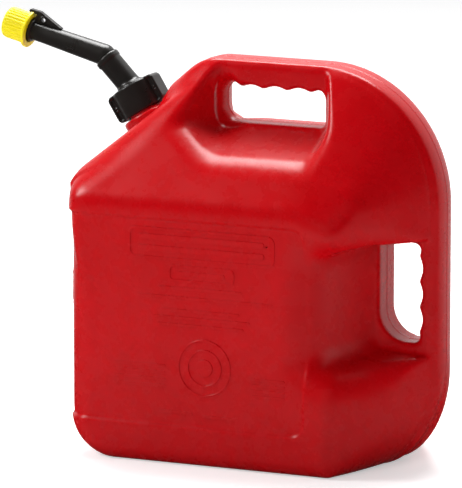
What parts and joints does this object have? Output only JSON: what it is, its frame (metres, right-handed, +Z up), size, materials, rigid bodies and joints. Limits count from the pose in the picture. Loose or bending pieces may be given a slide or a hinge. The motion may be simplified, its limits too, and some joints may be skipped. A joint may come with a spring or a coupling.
{
  "type": "jerry can",
  "caption": "Red plastic fuel can with moulded top and rear grips, threaded neck, bent swivelling self-closing spout and push-on yellow tip cap.",
  "frame": {"origin": "centre of the flat base between the two side walls, on the mould plane", "axes": "+Z up, +X towards the rear grip, the spout points to -X, Y across the mould plane"},
  "size_m": [0.4797, 0.221, 0.4248],
  "materials": {
    "red_shell": "satin blow-moulded polyethylene",
    "black_plastic": "smooth moulded plastic",
    "yellow_plastic": "smooth moulded plastic",
    "grey_plastic": "machined acetal",
    "clear_tube": "natural polyethylene tube",
    "liner_foam": "soft closed-cell foam",
    "seal_rubber": "smooth seal rubber",
    "spring_steel": "bright drawn wire"
  },
  "bodies": {
    "tank": {"tank": "red_shell"},
    "spout": {"spout_base": "black_plastic", "neck_gasket": "seal_rubber", "vent_tube": "clear_tube", "vent_holder": "black_plastic", "barrel_clip": "spring_steel"},
    "collar": {"collar": "black_plastic"},
    "barrel": {"barrel": "black_plastic", "barrel_o_ring": "seal_rubber", "spring_seat": "black_plastic", "tip_seat": "grey_plastic"},
    "trigger": {"trigger": "black_plastic", "rod_pin": "spring_steel", "valve_rod": "grey_plastic", "valve_plug": "black_plastic", "plug_seal": "seal_rubber", "return_spring": "spring_steel"},
    "cap": {"tip_cap": "yellow_plastic", "cap_liner": "liner_foam"}
  },
  "joints": [
    {"name": "spout_lift", "type": "slide", "parent": "tank", "child": "spout", "axis": [-0.5299, 0, 0.848], "range_m": [0, 0.02155]},
    {"name": "collar_turn", "type": "hinge", "parent": "spout", "child": "collar", "pos_m": [-0.14049, 0, 0.31904], "axis": [-0.5299, 0, 0.848], "range_deg": [0, 1170]},
    {"name": "barrel_swivel", "type": "hinge", "parent": "spout", "child": "barrel", "pos_m": [-0.19142, 0, 0.38129], "axis": [-0.6997, 0, 0.7145], "continuous": true},
    {"name": "trigger_slide", "type": "slide", "parent": "barrel", "child": "trigger", "axis": [0.9694, 0, -0.2453], "range_m": [0, 0.00884], "stiffness_N_per_m": 350, "springref_m": -0.003, "deforming": ["return_spring"]},
    {"name": "cap_pull", "type": "slide", "parent": "barrel", "child": "cap", "axis": [-0.9694, 0, 0.2453], "range_m": [0, 0.03315]}
  ],
  "couplings": [
    {"joint": "collar_turn", "follows": "spout_lift", "rad_per_m": 947.69}
  ]
}
